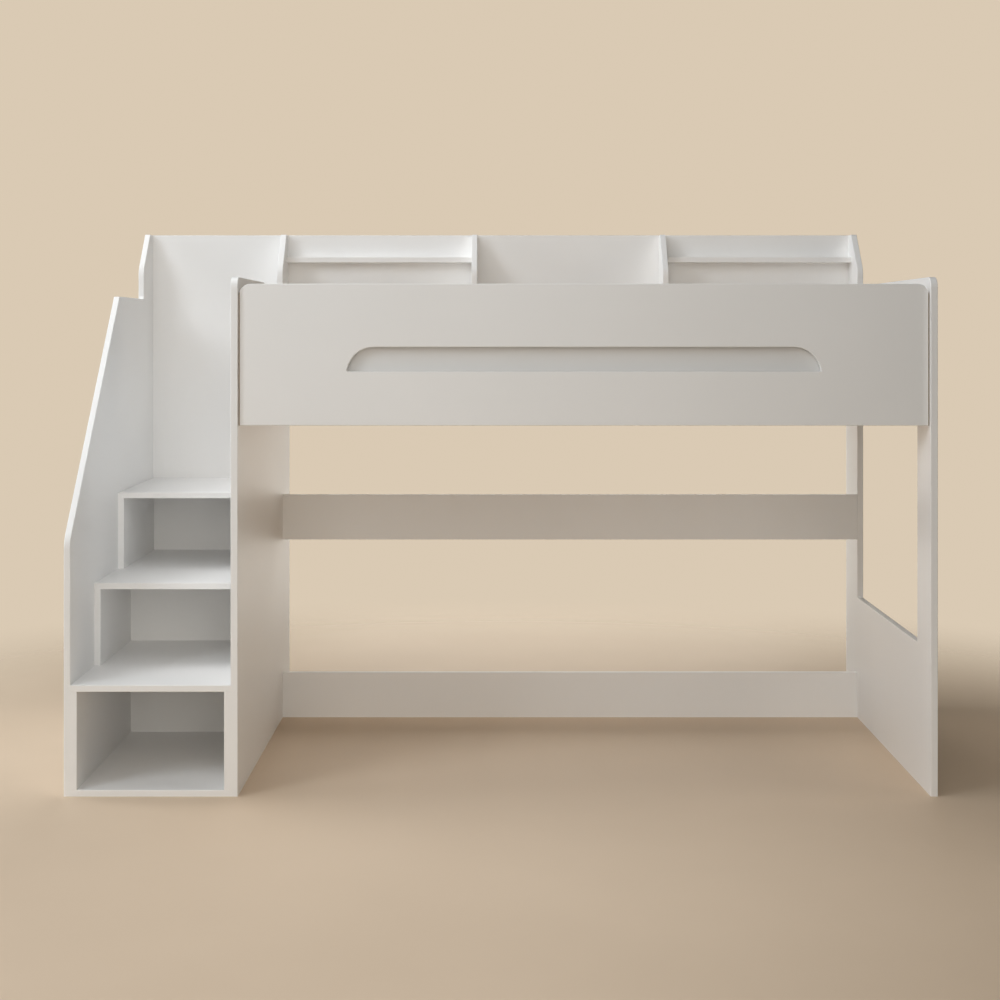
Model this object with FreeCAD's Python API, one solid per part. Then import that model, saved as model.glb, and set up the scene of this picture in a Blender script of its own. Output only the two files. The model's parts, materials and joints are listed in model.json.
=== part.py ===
import FreeCAD, Part
import math
import os

from functools import lru_cache
from FreeCAD import Placement, Rotation, Vector

# High sleeper bed with storage stairs, in millimetres.
# The origin is on the floor at the middle of the footprint: +X right, +Y to the rear, +Z up.

# Plan sizes of the bed, the stairs and their boards
bed_length = 1920.0
bed_width = 909.0
stair_width = 444.0
board = 18.0
end_board = 20.0
back_board = 16.0
guard_recess = 12.0
bookcase_depth = 144.0
back_inset = 18.0

# Heights of the bed, each one measured from the size before it
guard_bottom = 1027.0
guard_height = 394.0
end_rise = 19.0
upright_straight = 55.0
slope_rise = 124.0
slope_run = 102.0
rear_panel_height = 223.0

# Long slot in the guard panel, and the thin board that closes it from inside
slot_length = 1318.0
slot_height = 68.0
slot_lift = 150.0
slot_radius = 75.0
slot_foot = 3.0
backing_margin = 30.0
backing_board = 3.0
spacer_length = 6.0
spacer_radius = 7.0

# Shadow groove in the face of the guard panel, at each end panel
groove_width = 4.0
groove_depth = 5.0

# Window in the right end panel and entry gap in the left one
window_post = 148.0
window_sill = 400.0
entry_width = 400.0
entry_lift = 73.0

# Rear rails, and the two ledges of the bookcase
rail_width = 150.0
mid_rail_bottom = 594.0
ledge_depth = 53.0
ledge_drop = 77.0

# Stairs: rises, goings, and the places of the two inner backs
first_rise = 308.0
second_rise = 242.0
third_rise = 237.0
first_going = 271.0
second_going = 299.0
lower_back_setback = 95.0
upper_back_gap = 52.0
stair_side_knee = 709.0
stair_side_run = 591.0
stair_side_drop = 42.0

# Slatted deck
slat_count = 14
slat_width = 70.0
slat_thickness = 18.0
slat_end_gap = 3.0
cleat_depth = 30.0
cleat_height = 27.0
cleat_lift = 8.0

# Corner and edge roundings
guard_corner = 35.0
end_corner = 30.0
knee_radius = 60.0
entry_corner = 30.0
foot_radius = 10.0
top_radius = 6.0
window_corner = 4.0
panel_edge = 2.0
board_edge = 1.2
slat_edge = 3.0

# Cam fittings: a bolt screwed in the panel and a disc sunk in the board
cam_reach = 34.0
cam_thread_radius = 2.5
cam_shank_radius = 2.8
cam_head_radius = 3.4
cam_head_length = 4.0
cam_bore_radius = 4.0
cam_disc_radius = 7.5
cam_cap_rim = 1.2
cam_cap_thickness = 1.0
cam_cap_edge = 0.6
cam_inset = 60.0
narrow_cam_inset = 35.0
cam_pocket_share = 0.74

# Wooden dowels
dowel_radius = 4.0
dowel_edge_depth = 22.0
dowel_inset = 28.0
side_dowel_inset = 110.0

# Furniture bolts and barrel nuts of the guard panel
bolt_radius = 3.0
bolt_reach = 42.0
bolt_end = 8.0
bolt_head_radius = 5.0
bolt_head_height = 4.0
bolt_socket_radius = 2.5
bolt_inset = 96.0
nut_radius = 5.0
bolt_cap_radius = 7.0
bolt_cap_thickness = 1.5
nut_share = 0.8

# Countersunk wood screws
screw_radius = 2.0
screw_head_radius = 4.0
screw_head_height = 2.5
screw_tip = 5.0
back_screw_grip = 24.0

# Shares of a board that blind holes and drive recesses take
face_share = 0.4
hold_share = 0.6
socket_share = 0.6
drive_length_share = 0.6
drive_width_share = 0.14
drive_depth_share = 0.15
edge_third_shares = (0.2, 0.5, 0.8)
edge_half_shares = (0.3, 0.7)
end_dowel_shares = (0.2, 0.5, 0.8)
floor_screw_shares = (1 / 12, 3 / 12, 5 / 12, 7 / 12, 9 / 12, 11 / 12)
rear_dowel_shares = (1 / 8, 3 / 8, 5 / 8, 7 / 8)
divider_shares = (1 / 3, 2 / 3)
backing_screw_shares = (0.02, 0.26, 0.5, 0.74, 0.98)

# Running clearance of every fit, overrun of every cut, and the reach of an equality test
fit = 0.1
overrun = 5.0
touch = 0.001

# Places along X, from the stair side to the right end
total_width = board + stair_width + end_board + bed_length + end_board
x_stair_out = -total_width / 2
x_stair_in = x_stair_out + board
x_left_out = x_stair_in + stair_width
x_left_in = x_left_out + end_board
x_right_in = x_left_in + bed_length
x_right_out = x_right_in + end_board

# Places along Y, from the front to the rear
total_depth = guard_recess + board + bed_width + bookcase_depth + back_board + back_inset
y_front = -total_depth / 2
y_guard = y_front + guard_recess
y_bay = y_guard + board
y_bookcase = y_bay + bed_width
y_back = y_bookcase + bookcase_depth
y_back_rear = y_back + back_board
y_rear = total_depth / 2
y_slope_end = y_bookcase + slope_run
y_second = y_front + first_going
y_third = y_second + second_going
y_lower_back = y_third + lower_back_setback
y_upper_back = y_back - upper_back_gap - back_board
y_entry = y_bookcase - entry_width

# Places along Z
guard_top = guard_bottom + guard_height
end_top = guard_top + end_rise
upright_knee = end_top + upright_straight
bookcase_top = upright_knee + slope_rise
bookcase_floor_low = guard_bottom + rear_panel_height
bookcase_floor_top = bookcase_floor_low + board
ledge_top = bookcase_top - ledge_drop
entry_sill = guard_bottom + entry_lift
stair_side_top = end_top - stair_side_drop
first_top = first_rise
second_top = first_top + second_rise
third_top = second_top + third_rise
cleat_low = guard_bottom + cleat_lift
slat_low = cleat_low + cleat_height
slat_top = slat_low + slat_thickness

RIGHT = Vector(1, 0, 0)
LEFT = Vector(-1, 0, 0)
BACK = Vector(0, 1, 0)
FRONT = Vector(0, -1, 0)
UP = Vector(0, 0, 1)
DOWN = Vector(0, 0, -1)

nodes = {}
bores = {}
groups = {}


# Shared shape helpers

def box(x_low, x_high, y_low, y_high, z_low, z_high):
    """Board between two corners."""
    return Part.makeBox(x_high - x_low, y_high - y_low, z_high - z_low, Vector(x_low, y_low, z_low))


def rounded_wire(corners):
    """Closed wire through (point, radius) corners, with an arc where the radius isn't zero."""
    stops = []
    edges = []
    for index, (point, radius) in enumerate(corners):
        to_last = (corners[index - 1][0] - point).normalize()
        to_next = (corners[(index + 1) % len(corners)][0] - point).normalize()
        half = to_last.getAngle(to_next) / 2
        setback = radius / math.tan(half)
        stops.append((point + to_last * setback, point + to_next * setback))
        if radius:
            middle = (to_last + to_next).normalize() * (radius / math.sin(half) - radius)
            edges.append(Part.Arc(stops[-1][0], point + middle, stops[-1][1]).toShape())
    for index, stop in enumerate(stops):
        edges.append(Part.makeLine(stops[index - 1][1], stop[0]))
    return Part.Wire(Part.__sortEdges__(edges))


def side_wire(x, corners):
    """Rounded wire in the plane of a side panel, from (y, z, radius) corners."""
    return rounded_wire([(Vector(x, y, z), radius) for y, z, radius in corners])


def plate(outline, travel, hole=None):
    """Panel made by pushing an outline, less an inner one, along a direction."""
    solid = Part.Face(outline).extrude(travel)
    if hole:
        solid = solid.cut(Part.Face(hole).extrude(travel))
    return solid


def lies_at(bounds, axis, values):
    """Whether an edge's box is flat along an axis and lies at one of the values."""
    low = getattr(bounds, axis + "Min")
    high = getattr(bounds, axis + "Max")
    return any(abs(low - value) < touch and abs(high - value) < touch for value in values)


def pick_edges(shape, running, **places):
    """Edges that run along an axis, or any way for "", and lie at the given coordinates."""
    chosen = []
    for edge in shape.Edges:
        bounds = edge.BoundBox
        runs = not running or getattr(bounds, running + "Length") > touch
        if runs and all(lies_at(bounds, axis, values) for axis, values in places.items()):
            chosen.append(edge)
    return chosen


def ease(shape, radius, edges):
    """Round the given edges."""
    return shape.makeFillet(radius, edges)


def ease_panel(shape, x_low, x_high):
    """Round the outline of an upright panel on both faces, but not along the floor."""
    edges = [e for e in pick_edges(shape, "", X=(x_low, x_high)) if e.BoundBox.ZMax > touch]
    return ease(shape, panel_edge, edges)


def drill(node, tool):
    """Note a hole to be cut in a piece."""
    bores.setdefault(node, []).append(tool)


def place(shape, point, along, across):
    """Copy of a shape with its Z axis laid along one direction and its X axis across it."""
    copy = shape.copy()
    copy.Placement = Placement(point, Rotation(across, along.cross(across), along, "ZXY"))
    return copy


def rod(radius, low, high):
    """Cylinder on the Z axis between two heights."""
    return Part.makeCylinder(radius, high - low, Vector(0, 0, low))


def across_of(direction):
    """A direction square to the given one."""
    return UP if abs(direction.z) < touch else RIGHT


def add_group(node, solid):
    """Add one fastener to the group of its kind."""
    groups.setdefault(node, []).append(solid)


# Fasteners, each modelled once on the Z axis and then copied to its places

def drive_recess(radius, top, depth):
    """Cross recess for a screwdriver, sunk from the top of a head or disc."""
    half_length = radius * drive_length_share
    half_width = radius * drive_width_share
    one = box(-half_length, half_length, -half_width, half_width, top - depth, top + overrun)
    other = box(-half_width, half_width, -half_length, half_length, top - depth, top + overrun)
    return one.fuse(other)


@lru_cache(maxsize=None)
def cam_bolt(depth):
    """Bolt with its thread under the panel's face and its round head in the disc."""
    head_low = cam_reach - cam_head_length / 2
    bolt = rod(cam_thread_radius, -depth, 0).fuse(rod(cam_shank_radius, 0, head_low))
    return bolt.fuse(rod(cam_head_radius, head_low, head_low + cam_head_length)).removeSplitter()


@lru_cache(maxsize=None)
def cam_disc():
    """Disc that fills its pocket, hollow on the side where the bolt's head comes in."""
    top = board / 2 - fit
    disc = rod(cam_disc_radius, board / 2 - board * cam_pocket_share, top)
    hollow = rod(cam_head_radius + fit, -cam_head_length, cam_disc_radius + overrun)
    disc = disc.cut(place(hollow, Vector(), RIGHT, UP))
    return disc.cut(drive_recess(cam_disc_radius, top, board * drive_depth_share))


@lru_cache(maxsize=None)
def cam_cap():
    """Thin cover that lies on the board over the disc, with a rounded rim."""
    top = board / 2 + cam_cap_thickness
    cap = rod(cam_disc_radius + cam_cap_rim, board / 2, top)
    return ease(cap, cam_cap_edge, pick_edges(cap, "", Z=(top,)))


@lru_cache(maxsize=None)
def wood_screw(length):
    """Countersunk screw that points up, with its head's face at zero."""
    shank_end = length - screw_tip
    screw = Part.makeCone(screw_head_radius, screw_radius, screw_head_height)
    screw = screw.fuse(rod(screw_radius, screw_head_height, shank_end))
    screw = screw.fuse(Part.makeCone(screw_radius, 0, screw_tip, Vector(0, 0, shank_end)))
    recess = drive_recess(screw_head_radius, 0, screw_head_height * socket_share)
    return screw.removeSplitter().cut(recess.mirror(Vector(), UP))


@lru_cache(maxsize=None)
def screw_hole(length):
    """Countersunk hole that a screw lies in."""
    sink = Part.makeCone(screw_head_radius + fit, screw_radius + fit, screw_head_height + fit)
    hole = rod(screw_radius + fit, 0, length + fit).fuse(sink)
    return hole.fuse(rod(screw_head_radius + fit, -overrun, 0))


@lru_cache(maxsize=None)
def spacer():
    """Ring that a screw passes through."""
    bore = rod(screw_radius + fit, -overrun, spacer_length + overrun)
    return rod(spacer_radius, 0, spacer_length).cut(bore)


@lru_cache(maxsize=None)
def guard_bolt(seat):
    """Bolt with a six-sided socket, its head seated at a depth in the end panel."""
    head_low = seat - bolt_head_height
    turns = [turn * math.pi / 3 for turn in range(7)]
    points = [Vector(bolt_socket_radius * math.cos(turn), bolt_socket_radius * math.sin(turn), head_low)
              for turn in turns]
    socket = Part.Face(Part.makePolygon(points)).extrude(UP * bolt_head_height * socket_share)
    bolt = rod(bolt_radius, seat, bolt_reach + bolt_end).fuse(rod(bolt_head_radius, head_low, seat))
    return bolt.removeSplitter().cut(socket)


@lru_cache(maxsize=None)
def barrel_nut():
    """Round nut that lies across the bolt."""
    top = board / 2 - fit
    nut = rod(nut_radius, board / 2 - board * nut_share, top)
    cross_hole = rod(bolt_radius + fit, -nut_radius - overrun, nut_radius + overrun)
    nut = nut.cut(place(cross_hole, Vector(), RIGHT, UP))
    return nut.cut(drive_recess(nut_radius, top, board * drive_depth_share))


# Joints: each one places its fasteners and notes the holes of the pieces that it joins

def cam_joint(panel, panel_thickness, piece, point, into, disc_side, capped=True):
    """Cam fitting that pulls the end of a board against a panel's face at a point."""
    depth = panel_thickness * face_share
    across = across_of(into)
    add_group("cam_bolts", place(cam_bolt(depth), point, into, across))
    drill(panel, place(rod(cam_thread_radius + fit, -depth - fit, overrun), point, into, across))
    drill(piece, place(rod(cam_bore_radius, -overrun, cam_reach), point, into, across))
    face = board / 2
    floor = face - board * cam_pocket_share - fit
    center = point + into * cam_reach
    to_panel = into * -1
    drill(piece, place(rod(cam_disc_radius + fit, floor, face + overrun), center, disc_side, to_panel))
    add_group("cam_discs", place(cam_disc(), center, disc_side, to_panel))
    if capped:
        add_group("cam_cover_caps", place(cam_cap(), center, disc_side, to_panel))


def dowel_joint(faced, faced_thickness, edged, point, into):
    """Dowel from the face of one board into the edge of another."""
    depth = faced_thickness * face_share
    across = across_of(into)
    add_group("wooden_dowels", place(rod(dowel_radius, -depth, dowel_edge_depth), point, into, across))
    drill(faced, place(rod(dowel_radius + fit, -depth - fit, overrun), point, into, across))
    drill(edged, place(rod(dowel_radius + fit, -overrun, dowel_edge_depth + fit), point, into, across))


def screw_joint(kind, through, held, length, point, into):
    """Countersunk screw whose head lies flush in one board and whose point holds another."""
    across = across_of(into)
    add_group(kind, place(wood_screw(length), point, into, across))
    for node in (through, held):
        drill(node, place(screw_hole(length), point, into, across))


def bolt_joint(panel, point, into):
    """Furniture bolt through an end panel into a barrel nut in the guard panel."""
    seat = bolt_head_height + bolt_cap_thickness - end_board
    add_group("guard_bolts", place(guard_bolt(seat), point, into, UP))
    drill(panel, place(rod(bolt_radius + fit, -end_board - overrun, overrun), point, into, UP))
    drill(panel, place(rod(bolt_cap_radius + fit, -end_board - overrun, seat), point, into, UP))
    far = bolt_reach + bolt_end + fit
    drill("front_guard_panel", place(rod(bolt_radius + fit, -overrun, far), point, into, UP))
    cap = rod(bolt_cap_radius, -end_board, bolt_cap_thickness - end_board)
    add_group("guard_bolt_caps", place(cap, point, into, UP))
    face = board / 2
    floor = face - board * nut_share - fit
    center = point + into * bolt_reach
    drill("front_guard_panel", place(rod(nut_radius + fit, floor, face + overrun), center, BACK, into))
    add_group("barrel_nuts", place(barrel_nut(), center, BACK, into))


# Upright panels

def square_front(solid, x_low, x_high):
    """Panel with a square corner again where the lower cubby's boards lie flush with its front edge."""
    return solid.fuse(box(x_low, x_high, y_front, y_front + panel_edge, 0, first_top)).removeSplitter()


def upright_corners(y_end):
    """Sloped front of a bookcase upright, from its knee to the top rear corner."""
    return [(y_bookcase, upright_knee, knee_radius),
            (y_slope_end, bookcase_top, top_radius),
            (y_end, bookcase_top, 0)]


def stair_side_panel():
    corners = [(y_front, 0, 0),
               (y_front, stair_side_knee, knee_radius),
               (y_front + stair_side_run, stair_side_top, top_radius),
               (y_bookcase, stair_side_top, foot_radius)]
    corners += upright_corners(y_rear) + [(y_rear, 0, 0)]
    solid = plate(side_wire(x_stair_out, corners), RIGHT * board)
    return square_front(ease_panel(solid, x_stair_out, x_stair_in), x_stair_in - panel_edge, x_stair_in)


def left_end_panel():
    corners = [(y_front, 0, 0),
               (y_front, end_top, end_corner),
               (y_entry, end_top, end_corner),
               (y_entry, entry_sill, entry_corner),
               (y_bookcase, entry_sill, entry_corner)]
    corners += upright_corners(y_rear) + [(y_rear, 0, 0)]
    solid = plate(side_wire(x_left_out, corners), RIGHT * end_board)
    return square_front(ease_panel(solid, x_left_out, x_left_in), x_left_out, x_left_out + panel_edge)


def right_end_panel():
    corners = [(y_front, 0, 0),
               (y_front, end_top, end_corner),
               (y_bookcase, end_top, foot_radius)]
    corners += upright_corners(y_rear) + [(y_rear, 0, 0)]
    window = [(y_front + window_post, window_sill, window_corner),
              (y_bookcase, window_sill, window_corner),
              (y_bookcase, guard_bottom, window_corner),
              (y_front + window_post, guard_bottom, window_corner)]
    solid = plate(side_wire(x_right_in, corners), RIGHT * end_board, side_wire(x_right_in, window))
    return ease_panel(solid, x_right_in, x_right_out)


# Guard panel, rear panel and rails of the bed

def slot_wire():
    """Flat-bottomed slot whose two top corners are large arcs."""
    x_middle = (x_left_in + x_right_in) / 2
    low = guard_bottom + slot_lift
    high = low + slot_height
    drop = slot_radius - slot_height
    half_top = slot_length / 2 - math.sqrt(slot_radius ** 2 - drop ** 2)
    turn = (math.asin(drop / slot_radius) + math.pi / 2) / 2
    arc_x = half_top + slot_radius * math.cos(turn)
    arc_z = high - slot_radius + slot_radius * math.sin(turn)
    half = slot_length / 2
    places = [(-half, low), (half, low), (arc_x, arc_z), (half_top, high), (-half_top, high), (-arc_x, arc_z)]
    points = [Vector(x_middle + x, y_guard, z) for x, z in places]
    return Part.Wire([Part.makeLine(points[0], points[1]),
                      Part.Arc(points[1], points[2], points[3]).toShape(),
                      Part.makeLine(points[3], points[4]),
                      Part.Arc(points[4], points[5], points[0]).toShape()])


def front_guard_panel():
    outline = rounded_wire([(Vector(x_left_in, y_guard, guard_bottom), 0),
                            (Vector(x_right_in, y_guard, guard_bottom), 0),
                            (Vector(x_right_in, y_guard, guard_top), guard_corner),
                            (Vector(x_left_in, y_guard, guard_top), guard_corner)])
    low = guard_bottom + slot_lift
    slot = plate(slot_wire(), BACK * board)
    slot = ease(slot, slot_foot, pick_edges(slot, "Y", Z=(low,)))
    solid = plate(outline, BACK * board).cut(slot)
    solid = ease(solid, panel_edge, pick_edges(solid, "", Y=(y_guard, y_bay)))
    for x in (x_left_in, x_right_in - groove_width):
        groove = box(x, x + groove_width, y_guard, y_guard + groove_depth, guard_bottom, guard_top)
        solid = solid.cut(groove)
    return solid


def slot_backing():
    """Thin board behind the slot, held off the guard panel by spacers."""
    x_middle = (x_left_in + x_right_in) / 2
    half = slot_length / 2 + backing_margin
    low = guard_bottom + slot_lift - backing_margin
    high = low + slot_height + 2 * backing_margin
    y_low = y_bay + spacer_length
    y_high = y_low + backing_board
    nodes["slot_backing_panel"] = box(x_middle - half, x_middle + half, y_low, y_high, low, high)
    length = backing_board + spacer_length + board * hold_share
    for share in backing_screw_shares:
        x = x_middle - half + 2 * half * share
        for z in (low + backing_margin / 2, high - backing_margin / 2):
            add_group("slot_backing_spacers", place(spacer(), Vector(x, y_bay, z), BACK, UP))
            screw_joint("slot_backing_screws", "slot_backing_panel", "front_guard_panel", length,
                        Vector(x, y_high, z), FRONT)


def long_board(y_low, y_high, z_low, z_high):
    """Board along the bed, with its long edges eased."""
    solid = box(x_left_in, x_right_in, y_low, y_high, z_low, z_high)
    return ease(solid, board_edge, pick_edges(solid, "X"))


def bed_boards():
    y_rail = y_bookcase + board
    nodes["rear_bed_panel"] = box(x_left_in, x_right_in, y_bookcase, y_rail, guard_bottom, bookcase_floor_low)
    nodes["rear_mid_rail"] = long_board(y_bookcase, y_rail, mid_rail_bottom, mid_rail_bottom + rail_width)
    rail = box(x_left_in, x_right_in, y_bookcase, y_rail, 0, rail_width)
    nodes["rear_floor_rail"] = ease(rail, board_edge, pick_edges(rail, "X", Z=(rail_width,)))


# Bookcase over the rear of the bed

def divider(x_middle):
    """Upright board between two bays of the bookcase."""
    corners = [(y_bookcase, bookcase_floor_top, 0)]
    corners += upright_corners(y_back) + [(y_back, bookcase_floor_top, 0)]
    x_low = x_middle - board / 2
    solid = plate(side_wire(x_low, corners), RIGHT * board)
    front = [e for e in pick_edges(solid, "", X=(x_low, x_low + board))
             if e.BoundBox.ZMax > bookcase_floor_top + touch and e.BoundBox.YMin < y_back - touch]
    return ease(solid, board_edge, front)


def ledge(x_low, x_high):
    """Shallow shelf on the back of an outer bay."""
    solid = box(x_low, x_high, y_back - ledge_depth, y_back, ledge_top - board, ledge_top)
    return ease(solid, board_edge, pick_edges(solid, "X", Y=(y_back - ledge_depth,)))


def bookcase():
    floor = box(x_left_in, x_right_in, y_bookcase, y_back, bookcase_floor_low, bookcase_floor_top)
    nodes["bookcase_floor"] = ease(floor, board_edge, pick_edges(floor, "X", Y=(y_bookcase,)))
    back = box(x_left_in, x_right_in, y_back, y_back_rear, guard_bottom, bookcase_top)
    nodes["bookcase_back_panel"] = ease(back, board_edge, pick_edges(back, "X", Z=(bookcase_top,)))
    back_screw_length = back_board + back_screw_grip
    x_left, x_right = [x_left_in + bed_length * share for share in divider_shares]
    nodes["left_bay_ledge"] = ledge(x_left_in, x_left - board / 2)
    nodes["right_bay_ledge"] = ledge(x_right + board / 2, x_right_in)

    for name, x in (("left_bay_divider", x_left), ("right_bay_divider", x_right)):
        nodes[name] = divider(x)
        for share in edge_half_shares:
            point = Vector(x, y_bookcase + bookcase_depth * share, bookcase_floor_top)
            dowel_joint("bookcase_floor", board, name, point, UP)
        for share in edge_third_shares:
            height = bookcase_floor_top + (ledge_top - bookcase_floor_top) * share
            point = Vector(x, y_back_rear, height)
            screw_joint("back_screws", "bookcase_back_panel", name, back_screw_length, point, FRONT)
    y_ledge = y_back - ledge_depth / 2
    z_ledge = ledge_top - board / 2
    ledge_ends = (("left_end_panel", end_board, "left_bay_ledge", x_left_in, RIGHT),
                  ("left_bay_divider", board, "left_bay_ledge", x_left - board / 2, LEFT),
                  ("right_bay_divider", board, "right_bay_ledge", x_right + board / 2, RIGHT),
                  ("right_end_panel", end_board, "right_bay_ledge", x_right_in, LEFT))
    for panel, thickness, name, x, into in ledge_ends:
        dowel_joint(panel, thickness, name, Vector(x, y_ledge, z_ledge), into)
    for name, x_start in (("left_bay_ledge", x_left_in), ("right_bay_ledge", x_right)):
        for share in edge_third_shares:
            point = Vector(x_start + (x_left - x_left_in) * share, y_back_rear, z_ledge)
            screw_joint("back_screws", "bookcase_back_panel", name, back_screw_length, point, FRONT)
    for share in floor_screw_shares:
        point = Vector(x_left_in + bed_length * share, y_back_rear, bookcase_floor_low + board / 2)
        screw_joint("back_screws", "bookcase_back_panel", "bookcase_floor", back_screw_length, point, FRONT)
    for share in rear_dowel_shares:
        point = Vector(x_left_in + bed_length * share, y_bookcase + board / 2, bookcase_floor_low)
        dowel_joint("bookcase_floor", board, "rear_bed_panel", point, DOWN)


# Storage stairs

# Flat boards: name, front, rear, the cubby back that their last fittings stay in front of, top
flats = (("lower_cubby_floor", y_front, y_lower_back, y_lower_back, board),
         ("first_step_tread", y_front, y_lower_back, y_lower_back, first_top),
         ("second_step_tread", y_second, y_back, y_upper_back, second_top),
         ("third_step_tread", y_third, y_back, y_upper_back, third_top))

# Cubbies: name, front, back, and the flat boards under and over them
cubbies = (("lower_cubby", y_front, y_lower_back, flats[0], flats[1]),
           ("middle_cubby", y_second, y_lower_back, flats[1], flats[2]),
           ("upper_cubby", y_third, y_upper_back, flats[2], flats[3]))


def stair_boards():
    """Treads, the cubby floor and the backs, all as wide as the stairs."""
    for name, y_low, y_high, y_fitted, top in flats:
        solid = box(x_stair_in, x_left_out, y_low, y_high, top - board, top)
        edges = [e for e in pick_edges(solid, "X", Y=(y_low,)) if e.BoundBox.ZMax > touch]
        nodes[name] = ease(solid, board_edge, edges)
    nodes["lower_stair_back"] = box(x_stair_in, x_left_out, y_lower_back, y_lower_back + board,
                                    0, second_top - board)
    nodes["upper_cubby_back"] = box(x_stair_in, x_left_out, y_upper_back, y_upper_back + back_board,
                                    second_top, third_top - board)
    back = box(x_stair_in, x_left_out, y_back, y_back_rear, 0, bookcase_top)
    nodes["tall_stair_back"] = ease(back, board_edge, pick_edges(back, "X", Z=(bookcase_top,)))


def cubby_sides():
    """Two side boards in each cubby, doweled to the boards under and over them."""
    for name, y_low, y_high, under, over in cubbies:
        low = under[-1]
        high = over[-1] - board
        for side, x_low, x_inner in (("left", x_stair_in, x_stair_in + board),
                                     ("right", x_left_out - board, x_left_out - board)):
            node = name + "_" + side + "_side"
            solid = box(x_low, x_low + board, y_low, y_high, low, high)
            nodes[node] = ease(solid, board_edge, pick_edges(solid, "Z", Y=(y_low,), X=(x_inner,)))
            for y in (y_low + side_dowel_inset, y_high - side_dowel_inset):
                dowel_joint(under[0], board, node, Vector(x_low + board / 2, y, low), UP)
                dowel_joint(over[0], board, node, Vector(x_low + board / 2, y, high), DOWN)


def stair_joints():
    """Cams, dowels and screws that hold the stair boards between their two panels."""
    panels = (("stair_side_panel", board, x_stair_in, RIGHT), ("left_end_panel", end_board, x_left_out, LEFT))
    for panel, thickness, x, into in panels:
        for name, y_low, y_high, y_fitted, top in flats:
            z = top - board / 2
            for y in (y_low + cam_inset, y_fitted - cam_inset):
                cam_joint(panel, thickness, name, Vector(x, y, z), into, DOWN, top > board)
            for y in (y_low + dowel_inset, y_fitted - dowel_inset):
                dowel_joint(panel, thickness, name, Vector(x, y, z), into)
        for share in edge_half_shares:
            dowel_joint(panel, thickness, "lower_stair_back",
                        Vector(x, y_lower_back + board / 2, (second_top - board) * share), into)
        for share in end_dowel_shares:
            dowel_joint(panel, thickness, "tall_stair_back",
                        Vector(x, y_back + back_board / 2, bookcase_top * share), into)
    for share in edge_half_shares:
        x = x_stair_in + stair_width * share
        y_upper = y_upper_back + back_board / 2
        under_second = Vector(x, y_lower_back + board / 2, second_top - board)
        dowel_joint("second_step_tread", board, "lower_stair_back", under_second, DOWN)
        dowel_joint("second_step_tread", board, "upper_cubby_back", Vector(x, y_upper, second_top), UP)
        under_third = Vector(x, y_upper, third_top - board)
        dowel_joint("third_step_tread", board, "upper_cubby_back", under_third, DOWN)
    rear_fixings = (("lower_stair_back", "lower_cubby_floor", y_lower_back, board, board),
                    ("lower_stair_back", "first_step_tread", y_lower_back, board, first_top),
                    ("tall_stair_back", "second_step_tread", y_back, back_board, second_top),
                    ("tall_stair_back", "third_step_tread", y_back, back_board, third_top))
    for through, held, y, thickness, top in rear_fixings:
        for share in edge_third_shares:
            point = Vector(x_stair_in + stair_width * share, y + thickness, top - board / 2)
            screw_joint("back_screws", through, held, thickness + back_screw_grip, point, FRONT)


# Joints of the bed's long boards to the two end panels

def bed_joints():
    y_rail = y_bookcase + board / 2
    boards = (("rear_floor_rail", 0, rail_width),
              ("rear_mid_rail", mid_rail_bottom, mid_rail_bottom + rail_width),
              ("rear_bed_panel", guard_bottom, bookcase_floor_low))
    ends = (("left_end_panel", x_left_in, RIGHT), ("right_end_panel", x_right_in, LEFT))
    for panel, x, into in ends:
        for name, low, high in boards:
            for z in (low + narrow_cam_inset, high - narrow_cam_inset):
                cam_joint(panel, end_board, name, Vector(x, y_rail, z), into, BACK)
            dowel_joint(panel, end_board, name, Vector(x, y_rail, (low + high) / 2), into)
        z_floor = bookcase_floor_low + board / 2
        for y in (y_bookcase + board + narrow_cam_inset, y_back - narrow_cam_inset):
            cam_joint(panel, end_board, "bookcase_floor", Vector(x, y, z_floor), into, DOWN)
        for share in end_dowel_shares:
            z = guard_bottom + (bookcase_top - guard_bottom) * share
            dowel_joint(panel, end_board, "bookcase_back_panel", Vector(x, y_back + back_board / 2, z), into)
        for z in (guard_bottom + bolt_inset, guard_top - bolt_inset):
            bolt_joint(panel, Vector(x, y_guard + board / 2, z), into)


# Slatted deck on its two cleats

def slat_deck():
    pitch = bed_length / slat_count
    y_cleats = ((y_bay, "front_cleat", "front_guard_panel", BACK),
                (y_bookcase - cleat_depth, "rear_cleat", "rear_bed_panel", FRONT))
    for y, cleat, carrier, out in y_cleats:
        nodes[cleat] = box(x_left_in, x_right_in, y, y + cleat_depth, cleat_low, slat_low)
        y_head = y + cleat_depth if out == BACK else y
        for index in range(1, slat_count, 2):
            point = Vector(x_left_in + index * pitch, y_head, cleat_low + cleat_height / 2)
            screw_joint("cleat_screws", cleat, carrier, cleat_depth + board * hold_share, point, out * -1)
    for index in range(slat_count):
        name = "slat_%02d" % (index + 1)
        x = x_left_in + (index + 1 / 2) * pitch
        slat = box(x - slat_width / 2, x + slat_width / 2, y_bay + slat_end_gap, y_bookcase - slat_end_gap,
                   slat_low, slat_top)
        nodes[name] = ease(slat, slat_edge, pick_edges(slat, "Y"))
        for y, cleat, carrier, out in y_cleats:
            point = Vector(x, y + cleat_depth / 2, slat_top)
            screw_joint("slat_screws", name, cleat, slat_thickness + cleat_height * hold_share, point, DOWN)


def build():
    nodes["stair_side_panel"] = stair_side_panel()
    nodes["left_end_panel"] = left_end_panel()
    nodes["right_end_panel"] = right_end_panel()
    nodes["front_guard_panel"] = front_guard_panel()
    slot_backing()
    bed_boards()
    bookcase()
    stair_boards()
    cubby_sides()
    stair_joints()
    bed_joints()
    slat_deck()


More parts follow.
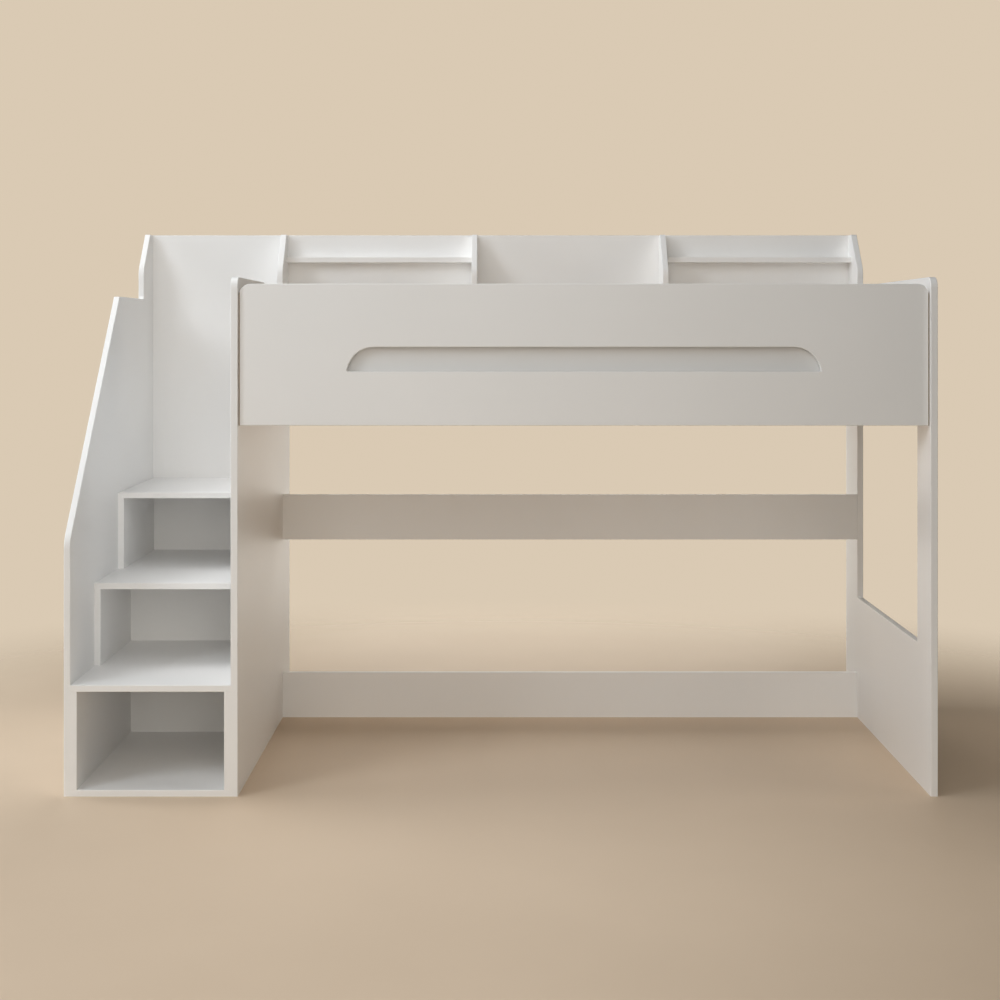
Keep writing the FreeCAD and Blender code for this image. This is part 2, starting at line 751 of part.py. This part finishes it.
def export():
    os.makedirs("parts", exist_ok=True)
    for name, solid in nodes.items():
        if name in bores:
            solid = solid.cut(bores[name])
        solid.exportStep("parts/" + name + ".step")
        print(name, len(solid.Solids), round(solid.Volume), solid.isValid())
    for name, solids in groups.items():
        Part.makeCompound(solids).exportStep("parts/" + name + ".step")
        print(name, len(solids))


build()
export()
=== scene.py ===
# %% [markdown]
# # A white high sleeper bed with storage stairs
# The bed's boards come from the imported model, at their real size and place. They could be modelled again by
# hand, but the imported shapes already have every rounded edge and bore, so they stay as they are.
# This lesson gives them their finishes, and sets up a floor, lights and a camera for a picture of the bed.

# %% Load the bed
import bpy
import json
import math
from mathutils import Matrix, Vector


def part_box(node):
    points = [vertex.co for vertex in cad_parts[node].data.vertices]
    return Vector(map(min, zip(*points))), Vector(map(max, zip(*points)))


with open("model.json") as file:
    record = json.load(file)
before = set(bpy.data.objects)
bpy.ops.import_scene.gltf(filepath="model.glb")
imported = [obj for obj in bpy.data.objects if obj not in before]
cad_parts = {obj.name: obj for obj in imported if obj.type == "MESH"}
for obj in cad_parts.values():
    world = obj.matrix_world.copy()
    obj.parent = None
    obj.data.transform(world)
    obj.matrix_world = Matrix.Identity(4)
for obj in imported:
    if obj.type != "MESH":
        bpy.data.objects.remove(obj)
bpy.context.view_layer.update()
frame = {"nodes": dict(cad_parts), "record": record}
print("pieces:", len(frame["nodes"]))

# %% [markdown]
# ## Nodes for a finish
# A finish is a small tree of nodes that ends in one shader. Every finish here starts from Object coordinates,
# which are metres on the bed itself, so a noise scale of 100 makes grains of about a centimetre. By hand,
# each node would be added, set and linked in the Shader Editor. The helpers below do the same in code, one
# for each kind of step, so that a finish further on reads as a short recipe.

# %% Start a finish and add its nodes
def new_finish(name):
    """Empty material with a shader, and the coordinates of the piece."""
    material = bpy.data.materials.new(name)
    material.use_nodes = True
    tree = material.node_tree
    shader = tree.nodes["Principled BSDF"]
    place = tree.nodes.new("ShaderNodeTexCoord").outputs["Object"]
    return material, tree, shader, place


def add(tree, kind, **inputs):
    """Add a node and set the named input sockets."""
    node = tree.nodes.new(kind)
    for name, value in inputs.items():
        node.inputs[name.replace("_", " ")].default_value = value
    return node


print("helpers: new_finish, add")


# %% Noise, and what a finish makes of it
def noise(tree, place, scale, detail, stretch=(1, 1, 1)):
    """Noise in metres on the piece, drawn out along an axis where its stretch is small."""
    mapping = add(tree, "ShaderNodeMapping", Scale=stretch)
    tree.links.new(place, mapping.inputs["Vector"])
    node = add(tree, "ShaderNodeTexNoise", Scale=scale, Detail=detail)
    tree.links.new(mapping.outputs["Vector"], node.inputs["Vector"])
    return node.outputs["Fac"]


def ramp(tree, source, low, high, start, end):
    """Colour that goes from low to high while the source goes from start to end."""
    node = tree.nodes.new("ShaderNodeValToRGB")
    node.color_ramp.elements[0].position = start
    node.color_ramp.elements[0].color = (*low, 1)
    node.color_ramp.elements[1].position = end
    node.color_ramp.elements[1].color = (*high, 1)
    tree.links.new(source, node.inputs["Fac"])
    return node.outputs["Color"]


def spread(tree, source, low, high):
    """Number between low and high that follows the source."""
    node = add(tree, "ShaderNodeMapRange", To_Min=low, To_Max=high)
    tree.links.new(source, node.inputs["Value"])
    return node.outputs["Result"]


def bump(tree, source, strength, distance):
    """Normal that follows the source as a height."""
    node = add(tree, "ShaderNodeBump", Strength=strength, Distance=distance)
    tree.links.new(source, node.inputs["Height"])
    return node.outputs["Normal"]


print("helpers: noise, ramp, spread, bump")

# %% [markdown]
# ## White faced board
# The panels are wood-based boards with a satin white face. One even colour would do from far away, but a
# real face is a little cloudy over half a metre, and a very fine pearl texture spreads its reflections. So
# slow noise shifts the white and fine noise makes a shallow bump: the board stays white, but it doesn't look
# like plain plastic. The thin board behind the slot has the same face in a greyer white: this is painted
# shade, which stands in for the shadow inside the slot.

# %% White board finish
white_low = (0.920, 0.917, 0.910)
white_high = (0.944, 0.941, 0.935)
# Greyer white for the board behind the slot: painted shade for the inside of the slot
backing_shade_low = (0.790, 0.787, 0.780)
backing_shade_high = (0.815, 0.812, 0.806)


def white_face(name, low, high):
    """Satin board face that drifts between two whites."""
    material, tree, shader, place = new_finish(name)
    cloud = noise(tree, place, scale=2.2, detail=3)
    pearl = noise(tree, place, scale=420, detail=2)
    tree.links.new(ramp(tree, cloud, low, high, start=0.3, end=0.7), shader.inputs["Base Color"])
    tree.links.new(spread(tree, pearl, low=0.40, high=0.52), shader.inputs["Roughness"])
    tree.links.new(bump(tree, pearl, strength=0.12, distance=0.0004), shader.inputs["Normal"])
    shader.inputs["Specular IOR Level"].default_value = 0.4
    return material


satin_white = white_face("satin_white", white_low, white_high)
backing_shade_white = white_face("backing_shade_white", backing_shade_low, backing_shade_high)
print("made", satin_white.name, "and", backing_shade_white.name)

# %% [markdown]
# ## Grooves at the guard's ends
# A narrow groove is routed down each end of the guard, so that a thin dark line parts it from the end panels.
# The cutter goes through the white face into the brown core of the board, and the core is painted darker
# than it is, as painted shade in the narrow gap. A second material on the groove's own faces would show the
# core too, but the imported mesh stays as it is. So the guard takes the white face again, and a mask made
# from Object coordinates swaps in the dark core where a point is deep enough and near an end.

# %% Masks and mixes
def maths(tree, operation, *sources):
    """Math node whose inputs are sockets or plain numbers."""
    node = tree.nodes.new("ShaderNodeMath")
    node.operation = operation
    for source, socket in zip(sources, node.inputs):
        if isinstance(source, bpy.types.NodeSocket):
            tree.links.new(source, socket)
        else:
            socket.default_value = source
    return node.outputs["Value"]


def colour_mix(tree, first, second):
    """Node that mixes two colours by its Factor."""
    node = tree.nodes.new("ShaderNodeMix")
    node.data_type = "RGBA"
    tree.links.new(first, node.inputs["A"])
    tree.links.new(second, node.inputs["B"])
    return node


print("helpers: maths, colour_mix")

# %% Guard finish
# Metres from the end of the guard, and behind its front face
groove_width = 0.0042
face_skin = 0.0004
groove_floor = 0.0055
# Core colour of the grooves, painted darker than the core is, as painted shade in the narrow gap
core_and_shade_low = (0.36, 0.29, 0.22)
core_and_shade_high = (0.48, 0.39, 0.30)


def grooved_face(name, low_corner, high_corner):
    """White face with the core, darkened as painted shade, in the grooves of a board between these corners."""
    material = white_face(name, white_low, white_high)
    tree = material.node_tree
    place = tree.nodes["Texture Coordinate"].outputs["Object"]
    half = (high_corner[0] - low_corner[0]) / 2
    centre = add(tree, "ShaderNodeMapping", Location=(-low_corner[0] - half, -low_corner[1], 0))
    tree.links.new(place, centre.inputs["Vector"])
    parts = tree.nodes.new("ShaderNodeSeparateXYZ")
    tree.links.new(centre.outputs["Vector"], parts.inputs["Vector"])
    depth = parts.outputs["Y"]
    from_middle = maths(tree, "ABSOLUTE", parts.outputs["X"])
    # Mask for the grooves, where the darkened core stands for the core and for painted shade
    under_face = maths(tree, "GREATER_THAN", depth, face_skin)
    above_floor = maths(tree, "LESS_THAN", depth, groove_floor)
    near_end = maths(tree, "GREATER_THAN", from_middle, half - groove_width)
    deep = maths(tree, "MULTIPLY", under_face, above_floor)
    groove_shade_mask = maths(tree, "MULTIPLY", deep, near_end)
    chips = noise(tree, place, scale=900, detail=3)
    core_and_shade = ramp(tree, chips, core_and_shade_low, core_and_shade_high, start=0.35, end=0.65)
    base = tree.nodes["Principled BSDF"].inputs["Base Color"]
    swap = colour_mix(tree, base.links[0].from_socket, core_and_shade)
    tree.links.new(groove_shade_mask, swap.inputs["Factor"])
    tree.links.new(swap.outputs["Result"], base)
    return material


guard_white_shaded_grooves = grooved_face("guard_white_shaded_grooves", *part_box("front_guard_panel"))
print("made", guard_white_shaded_grooves.name, "with grooves", groove_width, "m wide")

# %% [markdown]
# ## Pine slats and cleats
# The deck of the bed is planed pine. A picture of wood would have to be unwrapped onto each stick, while
# noise and waves need no picture and give every stick its own rings. The grain runs along a stick, so the
# pattern is drawn out along that direction: slats run front to back and cleats run along the bed. A wave
# bent by noise makes the growth rings, and finer noise makes the fibres.

# %% Pine finish
grain_stretch = 0.06
ring_low = (0.72, 0.50, 0.28)
ring_high = (0.58, 0.35, 0.16)
fibre_low = (0.78, 0.57, 0.34)
fibre_high = (0.55, 0.34, 0.17)
fibre_share = 0.45


def pine(name, along):
    """Pine whose grain runs along one axis, 0 for X or 1 for Y."""
    material, tree, shader, place = new_finish(name)
    stretch = [1.0, 1.0, 1.0]
    stretch[along] = grain_stretch
    fibre = noise(tree, place, scale=160, detail=5, stretch=stretch)
    ring = add(tree, "ShaderNodeTexWave", Scale=34.0, Distortion=5.0, Detail=3.0, Detail_Scale=0.8)
    ring.bands_direction = "Y" if along == 0 else "X"
    mapping = add(tree, "ShaderNodeMapping", Scale=stretch)
    tree.links.new(place, mapping.inputs["Vector"])
    tree.links.new(mapping.outputs["Vector"], ring.inputs["Vector"])
    rings = ramp(tree, ring.outputs["Fac"], ring_low, ring_high, start=0.45, end=1.0)
    fibres = ramp(tree, fibre, fibre_low, fibre_high, start=0.35, end=0.75)
    wood = colour_mix(tree, rings, fibres)
    wood.inputs["Factor"].default_value = fibre_share
    tree.links.new(wood.outputs["Result"], shader.inputs["Base Color"])
    tree.links.new(spread(tree, fibre, low=0.50, high=0.68), shader.inputs["Roughness"])
    tree.links.new(bump(tree, fibre, strength=0.2, distance=0.0006), shader.inputs["Normal"])
    return material


pine_slat = pine("pine_slat", along=1)
pine_cleat = pine("pine_cleat", along=0)
print("made", pine_slat.name, "and", pine_cleat.name)

# %% [markdown]
# ## Beech, zinc and plastic
# The fasteners are small, but each has its own stuff: beech dowels with short dark flecks, zinc-plated steel
# with fine scratches, and moulded white plastic caps that are a little cooler and glossier than the boards.
# Rings or a bump could be added as on the pine, but on pieces of a few millimetres nobody would see them, so
# each takes only a noise or two, for its colour and its gloss.

# %% Beech dowels
def beech():
    """Beech with short dark flecks."""
    material, tree, shader, place = new_finish("beech_dowel")
    fleck = noise(tree, place, scale=700, detail=4, stretch=(1, 0.3, 1))
    tone = ramp(tree, fleck, low=(0.68, 0.46, 0.28), high=(0.50, 0.31, 0.17), start=0.45, end=0.7)
    tree.links.new(tone, shader.inputs["Base Color"])
    tree.links.new(spread(tree, fleck, low=0.55, high=0.7), shader.inputs["Roughness"])
    return material


beech_dowel = beech()
print("made", beech_dowel.name)


# %% Zinc-plated steel
def zinc_steel():
    """Cloudy zinc plating with fine scratches in its gloss."""
    material, tree, shader, place = new_finish("zinc_plating")
    cloud = noise(tree, place, scale=300, detail=4)
    scratch = noise(tree, place, scale=1400, detail=2)
    tone = ramp(tree, cloud, low=(0.56, 0.57, 0.59), high=(0.70, 0.70, 0.69), start=0.35, end=0.7)
    tree.links.new(tone, shader.inputs["Base Color"])
    tree.links.new(spread(tree, scratch, low=0.28, high=0.46), shader.inputs["Roughness"])
    shader.inputs["Metallic"].default_value = 1.0
    return material


zinc_plating = zinc_steel()
print("made", zinc_plating.name)


# %% White plastic caps
def white_plastic():
    """Moulded plastic that is nearly even."""
    material, tree, shader, place = new_finish("moulded_white")
    mould = noise(tree, place, scale=900, detail=2)
    tone = ramp(tree, mould, low=(0.77, 0.77, 0.765), high=(0.81, 0.81, 0.805), start=0.3, end=0.7)
    tree.links.new(tone, shader.inputs["Base Color"])
    tree.links.new(spread(tree, mould, low=0.30, high=0.38), shader.inputs["Roughness"])
    return material


moulded_white = white_plastic()
print("made", moulded_white.name)

# %% [markdown]
# ## Dress the pieces
# On the real bed most pieces share a few finishes. They could be given by hand, one piece at a time, but the
# imported record already says which slot each piece belongs to. So the slot picks the finish, and the piece
# keeps its mesh. Four pieces have a finish of their own: the two cleats, whose grain runs along the bed, the
# guard, whose grooves show the core darkened as painted shade, and the board behind the slot, painted
# greyer as shade.

# %% Give every piece its finish
slot_finish = {"white_board": satin_white, "pine": pine_slat, "beech": beech_dowel,
               "zinc_steel": zinc_plating, "white_plastic": moulded_white}
own_finish = {"front_cleat": pine_cleat, "rear_cleat": pine_cleat,
              "front_guard_panel": guard_white_shaded_grooves, "slot_backing_panel": backing_shade_white}
for entry in frame["record"]["subparts"]:
    name = entry["node"]
    piece = frame["nodes"][name]
    finish = own_finish.get(name, slot_finish[entry["material_slot"]])
    piece.data.materials.clear()
    piece.data.materials.append(finish)
    print(name, finish.name)

# %% [markdown]
# ## Floor
# The bed stands on a plain pale floor. A large plane would end in a hard line against the background. A wide
# disc is enough, and its paint turns clear towards the rim, so that no line shows where it ends.

# %% Floor disc
floor_radius = 3.6
floor_centre = (0, -0.5, 0)
bpy.ops.object.select_all(action="DESELECT")
bpy.ops.mesh.primitive_circle_add(vertices=96, radius=floor_radius, fill_type="NGON", location=floor_centre)
floor = bpy.context.object
floor.name = "floor"
print("floor width:", floor.dimensions.x)

# %% Floor paint
floor_low = (0.68, 0.538, 0.395)
floor_high = (0.72, 0.573, 0.425)
paint, tree, shader, place = new_finish("floor_paint")
patchy = noise(tree, place, scale=1.2, detail=3)
tree.links.new(ramp(tree, patchy, floor_low, floor_high, start=0.3, end=0.7), shader.inputs["Base Color"])
shader.inputs["Roughness"].default_value = 0.6
floor.data.materials.append(paint)
print("made", paint.name)

# %% Fade the floor out
fade_start = 1.7
fade_end = 3.4
far = tree.nodes.new("ShaderNodeVectorMath")
far.operation = "LENGTH"
tree.links.new(place, far.inputs[0])
fade = add(tree, "ShaderNodeMapRange", From_Min=fade_start, From_Max=fade_end)
fade.interpolation_type = "SMOOTHSTEP"
tree.links.new(far.outputs["Value"], fade.inputs["Value"])
clear = tree.nodes.new("ShaderNodeBsdfTransparent")
blend = tree.nodes.new("ShaderNodeMixShader")
tree.links.new(fade.outputs["Result"], blend.inputs["Fac"])
tree.links.new(shader.outputs["BSDF"], blend.inputs[1])
tree.links.new(clear.outputs["BSDF"], blend.inputs[2])
tree.links.new(blend.outputs["Shader"], tree.nodes["Material Output"].inputs["Surface"])
print("floor fades from", fade_start, "m to", fade_end, "m")

# %% [markdown]
# ## Light
# White boards show their shape by soft shading alone, so every lamp is a wide disc: a small one would draw
# hard edges. The key at the upper left puts blurred, slanted shadows at the left of each bookcase bay, and a
# wash from the left makes the faces that look that way the brightest. Both are cool, as daylight is. A lamp
# above the stairs lights the treads, and a wide one in front of it lets that light fade slowly into the
# cubbies. The warm lamps in front and at the right keep the shade open, and one behind the bed lights its
# rails and its rear.

# %% Lights
daylight = (0.90, 0.955, 1.0)
neutral = (1.0, 1.0, 1.0)
warm = (1.0, 0.945, 0.855)
# Name, place, point that it looks at, width in metres, watts, tint
lights = (("key_light", (-3.8, -3.2, 3.35), (0.0, 0.2, 0.9), 2.0, 62, daylight),
          ("left_wash", (-5.0, 0.2, 1.8), (0.0, 0.0, 1.0), 3.0, 96, daylight),
          ("top_light", (-2.0, 0.0, 4.6), (-0.8, 0.0, 0.8), 2.6, 65, neutral),
          ("stair_light", (-1.2, -2.6, 3.2), (-1.0, 0.0, 0.5), 3.6, 24, neutral),
          ("front_fill", (0.0, -7.0, 2.2), (0.0, 0.0, 0.8), 5.0, 90, warm),
          ("stair_fill", (-0.3, -3.6, 1.1), (-1.0, 0.0, 0.5), 1.6, 6, warm),
          ("right_fill", (5.5, -1.0, 2.5), (0.0, 0.0, 0.8), 3.0, 44, warm),
          ("rear_fill", (0.3, 3.2, 1.2), (0.3, 0.0, 0.9), 3.0, 46, warm))
for name, spot, target, width, watts, tint in lights:
    data = bpy.data.lights.new(name, "AREA")
    data.shape = "DISK"
    data.size = width
    data.energy = watts
    data.color = tint
    lamp = bpy.data.objects.new(name, data)
    bpy.context.scene.collection.objects.link(lamp)
    lamp.location = spot
    lamp.rotation_euler = (Vector(target) - Vector(spot)).to_track_quat("-Z", "Y").to_euler()
    lamp.visible_camera = False
    print(name, watts, "W,", width, "m wide")

# %% [markdown]
# ## Background
# The background is a plain warm tone. It could light the bed as well, but then it would fill every shadow.
# So only the camera sees it, and the lamps do all the lighting: a Light Path node tells a ray that comes
# straight from the camera from one that lights a surface.

# %% Background
backdrop_tone = (0.70, 0.59, 0.455, 1)
world = bpy.data.worlds.new("warm_backdrop")
world.use_nodes = True
bpy.context.scene.world = world
sky = world.node_tree
backdrop = sky.nodes["Background"]
backdrop.inputs["Color"].default_value = backdrop_tone
rays = sky.nodes.new("ShaderNodeLightPath")
sky.links.new(rays.outputs["Is Camera Ray"], backdrop.inputs["Strength"])
print("made", world.name, "for the camera only")

# %% [markdown]
# ## Camera
# The picture is a straight front view: the camera looks level along the bed's depth, from about chest height.
# Tilting it down would frame the bed as well, but upright edges would then lean, so the lens is shifted down
# instead. The Standard view keeps whites as bright as they are lit.

# %% Camera
eye = (0.001, -5.1085, 1.2842)
level_view = (math.pi / 2, 0, 0)
lens = bpy.data.cameras.new("camera")
lens.lens = 59.13
lens.sensor_width = 36.0
lens.shift_x = -0.0012
lens.shift_y = -0.167
camera = bpy.data.objects.new("camera", lens)
bpy.context.scene.collection.objects.link(camera)
camera.location = eye
camera.rotation_euler = level_view
bpy.context.scene.camera = camera
bpy.context.scene.view_settings.view_transform = "Standard"
print("camera at", tuple(camera.location))
